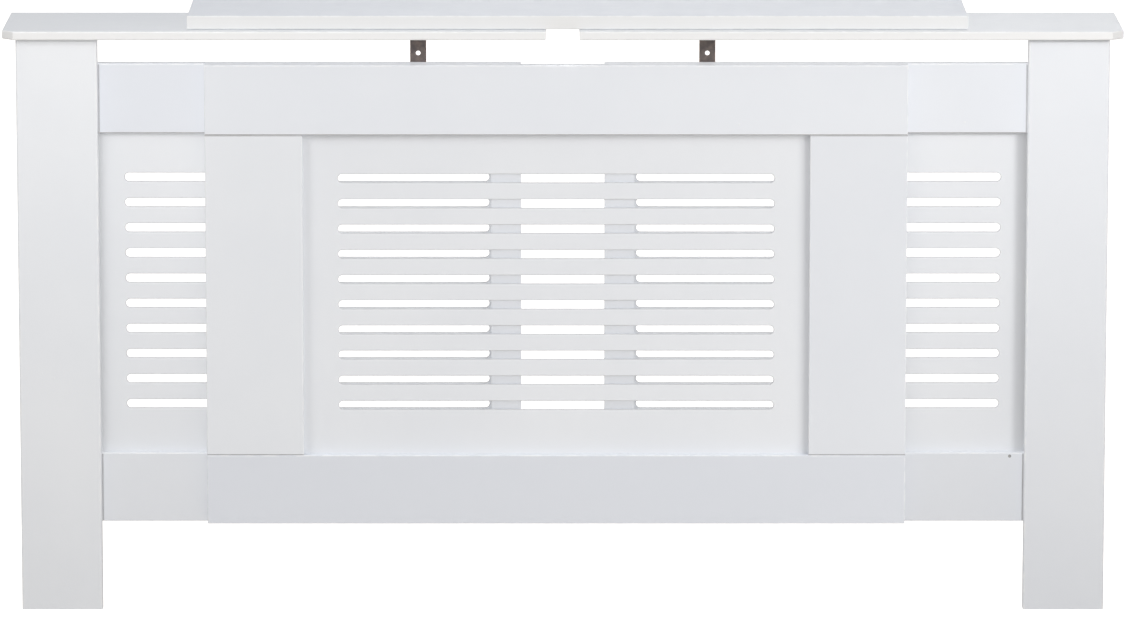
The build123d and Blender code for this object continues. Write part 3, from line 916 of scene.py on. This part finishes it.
def slottedPanel(nodeName, slotLow, slotHigh, rise):
    low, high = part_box(nodeName)
    middle = (low + high) / 2
    fieldHeight = grille["slotPitch"] * (grille["slotCount"] - 1)
    mesh = runTree(panelTree, nodeName + "_routed", "painted_panel", {
        **grille,
        "thickness": high.y - low.y,
        "panelWidth": high.x - low.x,
        "panelHeight": high.z - low.z,
        "panelMiddle": middle,
        "slotWidth": slotHigh - slotLow,
        "firstSlot": Vector(((slotLow + slotHigh) / 2 - middle.x, rise - fieldHeight / 2, 0)),
    })
    addPiece(nodeName + "_routed", mesh, bodyOf[nodeName], "painted_panel", [nodeName])


for body, side in ends.items():
    name = body.split("_")[0]
    inner = innerX(name + "_grille_panel") + grille["endSlotInnerMargin"]
    outer = innerX(name + "_leg") - grille["endSlotOuterMargin"]
    slotLow, slotHigh = sorted((side * inner, side * outer))
    slottedPanel(name + "_grille_panel", slotLow, slotHigh, grille["endSlotRise"])
slottedPanel(
    "centre_grille_panel",
    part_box("centre_left_stile")[1].x + grille["centreSlotMargin"],
    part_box("centre_right_stile")[0].x - grille["centreSlotMargin"],
    grille["centreSlotRise"],
)
print("grille panels routed")


# Cross-recess screws, one mesh for each body

screw = {
    "headRadius": 0.0035,
    "shankRadius": 0.00175,
    "tipShare": 0.35,  # of the shank's radius
    "recessLength": 0.0040,
    "recessWidth": 0.0009,
    "recessDepth": 0.0013,
    "sides": 28,
    "shankSides": 12,
    "turnSeed": 7,
}


def screwTree():
    tree, given = newShape("crossScrews", {
        geometrySocket: ["Seats"],
        floatSocket: [
            "Head Radius", "Shank Radius", "Tip Share",
            "Recess Length", "Recess Width", "Recess Depth",
        ],
        countSocket: ["Sides", "Shank Sides", "Turn Seed"],
    })
    shankRadius = given["Shank Radius"]
    head = addOut(tree, "GeometryNodeMeshCone", {
        "Vertices": given["Sides"], "Radius Top": shankRadius, "Radius Bottom": given["Head Radius"],
        "Depth": addMath(tree, "SUBTRACT", given["Head Radius"], shankRadius),
    })
    # half of each bar is sunk, and the second goes less deep, so that no two faces are level
    bars = []
    for x, y, share in (("Recess Length", "Recess Width", 2.0), ("Recess Width", "Recess Length", 1.9)):
        reach = addMath(tree, "MULTIPLY", given["Recess Depth"], share)
        size = addVector(tree, given[x], given[y], reach)
        bars.append(addOut(tree, "GeometryNodeMeshCube", {"Size": size}))
    inputs = {"Mesh 1": head, "Mesh 2": bars}
    crossed = addOut(tree, "GeometryNodeMeshBoolean", inputs, operation="DIFFERENCE")
    shank = addOut(tree, "GeometryNodeMeshCone", {
        "Vertices": given["Shank Sides"], "Radius Bottom": shankRadius, "Depth": 1.0,
        "Radius Top": addMath(tree, "MULTIPLY", shankRadius, given["Tip Share"]),
    })

    inputs = {"Vector": readNamed(tree, "drive", "FLOAT_VECTOR")}
    aim = addOut(tree, "FunctionNodeAlignRotationToVector", inputs, axis="Z")
    heads = addInstances(tree, given["Seats"], crossed, {"Rotation": aim})
    inputs = {2: 0.0, 3: math.pi / 2, "Seed": given["Turn Seed"]}
    turn = addNode(tree, "FunctionNodeRandomValue", inputs, data_type="FLOAT").outputs[1]
    inputs = {"Instances": heads, "Rotation": addVector(tree, z=turn)}
    turned = addOut(tree, "GeometryNodeRotateInstances", inputs)
    stretch = addVector(tree, 1.0, 1.0, readNamed(tree, "length"))
    shanks = addInstances(tree, given["Seats"], shank, {"Rotation": aim, "Scale": stretch})
    closeTree(tree, addJoined(tree, [turned, shanks]), given["Finish"])
    return tree


def solidsOf(nodeName):
    # the points of each separate solid of a grouped node, always in the same order
    work = mergedCopy(nodeName)
    found = set()
    solids = []
    for first in work.verts:
        if first in found:
            continue
        found.add(first)
        reached = [first]
        for vert in reached:
            for edge in vert.link_edges:
                other = edge.other_vert(vert)
                if other not in found:
                    found.add(other)
                    reached.append(other)
        solids.append([vert.co.copy() for vert in reached])
    work.free()
    return solids


def screwSeat(points):
    # the head is the wide end of the long axis
    endDepth = 0.0002
    low, high = boxOf(points)
    size = high - low
    axis = max(range(3), key=lambda index: size[index])
    middle = (low + high) / 2
    spreads = [
        max((point - middle).length for point in points if abs(point[axis] - end[axis]) < endDepth)
        for end in (low, high)
    ]
    headIsLow = spreads[0] > spreads[1]
    head = middle.copy()
    head[axis] = low[axis] if headIsLow else high[axis]
    drive = Vector((0, 0, 0))
    drive[axis] = 1 if headIsLow else -1
    return head, drive, size[axis]


crossScrews = screwTree()
screwNodes = [name for name in slotOf if name.endswith("_screws")]
for body in frame["bodies"]:
    group = sorted(name for name in screwNodes if bodyOf[name] == body)
    if not group:
        continue
    heads, drives, lengths = zip(*[screwSeat(points) for name in group for points in solidsOf(name)])
    seats = seatMesh(body + "_seats", heads, drive=drives, length=lengths)
    mesh = runTree(crossScrews, body + "_cross_screws", "zinc_steel", screw, seats)
    addPiece(body + "_cross_screws", mesh, body, "zinc_steel", group)
    print(body, "screws driven:", len(heads))


# Foam pads under the top board

pads = {"bulge": 0.0004, "sides": 44, "steps": 6, "fill": 1.0}


def padTree():
    tree, given = newShape("foamPads", {
        geometrySocket: ["Seats"], floatSocket: ["Radius", "Thickness", "Bulge"],
        countSocket: ["Sides", "Steps"],
    })
    inner = addMath(tree, "SUBTRACT", given["Radius"], given["Bulge"])
    inputs = {"Resolution": given["Sides"], "Radius": inner}
    circle = addOut(tree, "GeometryNodeCurvePrimitiveCircle", inputs)
    half, under = addHalves(tree, given["Thickness"])
    # the middle handle stands twice as far out as the curve
    outwards = addMath(tree, "MULTIPLY", given["Bulge"], 2.0)
    bulged = addOut(tree, "GeometryNodeCurveQuadraticBezier", {
        "Resolution": given["Steps"], "Start": addVector(tree, y=half),
        "Middle": addVector(tree, x=outwards), "End": addVector(tree, y=under),
    })
    rim = addFlipped(tree, addSwept(tree, circle, bulged))
    disc = addOut(tree, "GeometryNodeFillCurve", {"Curve": circle}, mode="NGONS")
    faces = addBothSides(tree, disc, given["Thickness"])
    closed = addWelded(tree, [addSmooth(tree, rim), *faces])
    closeTree(tree, addInstances(tree, given["Seats"], closed), given["Finish"])
    return tree


padBoxes = [boxOf(points) for points in solidsOf("top_board_pads")]
padSeats = seatMesh("padSeats", [(low + high) / 2 for low, high in padBoxes])
padSize = padBoxes[0][1] - padBoxes[0][0]
settings = {**pads, "radius": padSize.x / 2, "thickness": padSize.z}
padMesh = runTree(padTree(), "top_board_foam_pads", "felt", settings, padSeats)
padPiece = addPiece("top_board_foam_pads", padMesh, "top_board", "felt", ["top_board_pads"])
print("pads stuck on:", len(padBoxes))


# Small marks in the paint: one bare pin head, two filled ones and a few nibs

marks = {
    "height": 0.00022,
    "segments": 16,
    "rings": 8,
    "pins": [
        {"on": "right_bottom_rail", "x": 0.6105, "z": 0.2105, "radius": 0.0022, "bare": True},
        {"on": "right_top_rail", "x": 0.5450, "z": 0.6720, "radius": 0.0016, "bare": False},
        {"on": "centre_top_rail", "x": 0.2385, "z": 0.6720, "radius": 0.0016, "bare": False},
        {"on": "left_leg", "x": -0.6930, "z": 0.3220, "radius": 0.0012, "bare": False},
        {"on": "left_leg", "x": -0.7090, "z": 0.3290, "radius": 0.0009, "bare": False},
        {"on": "left_leg", "x": -0.6710, "z": 0.4680, "radius": 0.0010, "bare": False},
    ],
}


def markTree():
    tree, given = newShape("paintMarks", {
        geometrySocket: ["Seats"], floatSocket: ["Height"], countSocket: ["Segments", "Rings"],
    })
    inputs = {"Segments": given["Segments"], "Rings": given["Rings"], "Radius": 1.0}
    ball = addSmooth(tree, addOut(tree, "GeometryNodeMeshUVSphere", inputs))
    radius = readNamed(tree, "radius")
    flattened = addVector(tree, radius, given["Height"], radius)
    placed = addInstances(tree, given["Seats"], ball, {"Scale": flattened})
    closeTree(tree, placed, given["Finish"])
    return tree


paintMarks = markTree()
for body in frame["bodies"]:
    for bare in (True, False):
        chosen = [pin for pin in marks["pins"] if bodyOf[pin["on"]] == body and pin["bare"] == bare]
        if not chosen:
            continue
        name = body + ("_bare_pin" if bare else "_filled_pins")
        slotName = "zinc_steel" if bare else "painted_board"
        finish = finishes["bare_pin" if bare else "painted_board"]
        places = [(pin["x"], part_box(pin["on"])[0].y, pin["z"]) for pin in chosen]
        seats = seatMesh(name + "_seats", places, radius=[pin["radius"] for pin in chosen])
        mesh = runTree(paintMarks, name, slotName, marks, seats, finish)
        addPiece(name, mesh, body, slotName, material=finish)
print("pins and nibs:", len(marks["pins"]))


# Stage: a pale floor, soft light and the photograph's viewing angle

floor = {
    "reach": 60.0,
    "colour": (0.64, 0.60, 0.56, 1),
    "patch": (0.61, 0.58, 0.54, 1),
    "patchScale": 0.8,
    "rough": 0.9,
    "shine": 0.1,
    "glow": 1.0,  # only the camera sees it
}
room = {"colour": (0.97, 0.98, 1.0, 1), "light": 0.59, "seen": 1.1}


def makeFloor():
    mesh = bpy.data.meshes.new("floor")
    reach = floor["reach"]
    corners = [(-reach, -reach, 0), (reach, -reach, 0), (reach, reach, 0), (-reach, reach, 0)]
    mesh.from_pydata(corners, [], [(0, 1, 2, 3)])
    material, tree, shader, coords = newMaterial("paleFloor")
    tone = addNoise(tree, coords, floor["patchScale"])
    colour = mixColour(tree, tone, floor["colour"], floor["patch"])
    tree.links.new(colour, shader.inputs["Base Color"])
    shader.inputs["Roughness"].default_value = floor["rough"]
    shader.inputs["Specular IOR Level"].default_value = floor["shine"]
    seen = addNode(tree, "ShaderNodeLightPath").outputs["Is Camera Ray"]
    strength = addMath(tree, "MULTIPLY", seen, floor["glow"])
    glow = addOut(tree, "ShaderNodeEmission", {"Color": (1, 1, 1, 1), "Strength": strength})
    total = addOut(tree, "ShaderNodeAddShader", {0: shader.outputs[0], 1: glow})
    tree.links.new(total, tree.nodes["Material Output"].inputs["Surface"])
    mesh.materials.append(material)
    plane = bpy.data.objects.new("floor", mesh)
    bpy.context.scene.collection.objects.link(plane)
    return plane


def makeWorld():
    world = bpy.data.worlds.new("softRoom")
    world.use_nodes = True
    tree = world.node_tree
    back = tree.nodes["Background"]
    back.inputs["Color"].default_value = room["colour"]
    seen = addNode(tree, "ShaderNodeLightPath").outputs["Is Camera Ray"]
    strength = addRange(tree, seen, 0.0, 1.0, room["light"], room["seen"])
    tree.links.new(strength, back.inputs["Strength"])
    bpy.context.scene.world = world


lamps = {
    "endKey": {"at": (1.25, -1.3, 1.2), "aim": (0.3, 0, 1.0), "size": 0.4, "power": 8.8},
    "endFill": {"at": (-0.9, -1.6, 1.5), "aim": (-0.3, 0, 1.2), "size": 0.9, "power": 7.5},
    "centreKey": {"at": (2.4, -2.5, 1.6), "aim": (0.2, 0, 0.8), "size": 2.3, "power": 58.0},
    "centreFill": {"at": (-1.6, -1.2, 1.6), "aim": (-0.2, 0, 1.1), "size": 0.9, "power": 11.0},
    "backLamp": {"at": (0.4, 3.8, 2.2), "aim": (0, 0, 0.6), "size": 2.4, "power": 14.0},
    # the next four only lift tones, so they cast no shadows
    "endLift": {"at": (-0.8, -1.6, 1.5), "aim": (-0.2, 0, 1.2), "size": 1.0, "power": 7.2},
    "topLamp": {"at": (-0.6, -0.2, 3.0), "aim": (0, 0, 0.8), "size": 2.2, "power": 2.0},
    "ledgeLamp": {"at": (0, -0.2, 3.0), "aim": (0, 0, 0.8), "size": 2.2, "power": 12.0},
    "capLamp": {"at": (0, 0.1, 3.0), "aim": (0, 0.1, 0.8), "size": 2.2, "power": 30.0},
}
lifting = ("endLift", "topLamp", "ledgeLamp", "capLamp")
# in the photograph the centre unit casts no shadow on the ends and the legs cast none on the rails,
# so some lamps light one group of pieces alone and others stand out of their way
litBy = {
    "endKey": (("End", "AcrossEnd"), ("Rail", "AcrossRail")),
    "endFill": (("End", "AcrossEnd"), ("Rail", "AcrossRail")),
    "centreKey": (("Centre", None),),
    "centreFill": (("Centre", None),),
    "endLift": (("EndLift", None),),
    "ledgeLamp": (("Ledge", None),),
    "capLamp": (("Cap", None),),
}


def lampTargets(plane):
    names = ("End", "Rail", "Centre", "EndLift", "Ledge", "Cap", "AcrossEnd", "AcrossRail")
    targets = {name: bpy.data.collections.new("lamp" + name) for name in names}
    targets["Centre"].objects.link(plane)
    for piece, body in dressed:
        railed = piece.name.endswith("rail_eased")
        framed = railed or piece.name.endswith(("stile_eased", "leg_eased"))
        if framed:
            targets["Ledge"].objects.link(piece)
        if piece.name.endswith("top_rail_eased"):
            targets["Cap"].objects.link(piece)
        if body in ends:
            targets["Rail" if railed else "End"].objects.link(piece)
            targets["EndLift"].objects.link(piece)
        else:
            targets["Centre"].objects.link(piece)
        if body != "centre_unit":
            targets["AcrossEnd"].objects.link(piece)
            if not piece.name.endswith("leg_eased"):
                targets["AcrossRail"].objects.link(piece)
    targets[None] = None
    return targets


def makeLamps(plane):
    targets = lampTargets(plane)
    for name, lamp in lamps.items():
        for lit, casting in litBy.get(name, ((None, None),)):
            data = bpy.data.lights.new(name + (lit or ""), "AREA")
            data.shape = "DISK"
            data.size = lamp["size"]
            data.energy = lamp["power"]
            data.use_shadow = name not in lifting
            item = bpy.data.objects.new(data.name, data)
            bpy.context.scene.collection.objects.link(item)
            item.location = lamp["at"]
            item.rotation_mode = "QUATERNION"
            item.rotation_quaternion = (Vector(lamp["aim"]) - item.location).to_track_quat("-Z", "Y")
            item.visible_camera = False
            item.light_linking.receiver_collection = targets[lit]
            item.light_linking.blocker_collection = targets[casting]


view = {
    "distance": 10.0,
    "height": 2.198,
    "pitch": 9.85,
    "aside": -0.001,
    "lens": 237.6,
    "shiftY": -0.040,
}


def makeCamera():
    data = bpy.data.cameras.new("photoCamera")
    data.sensor_width = 36.0
    data.sensor_fit = "HORIZONTAL"
    data.lens = view["lens"]
    data.shift_y = view["shiftY"]
    data.clip_start = 0.1
    data.clip_end = 200.0
    item = bpy.data.objects.new("photoCamera", data)
    item.location = (view["aside"], -view["distance"], view["height"])
    item.rotation_euler = (math.radians(90 - view["pitch"]), 0, 0)
    bpy.context.scene.collection.objects.link(item)
    bpy.context.scene.camera = item


plane = makeFloor()
makeWorld()
makeLamps(plane)
makeCamera()
bpy.context.scene.view_settings.view_transform = "Standard"
print("stage set")
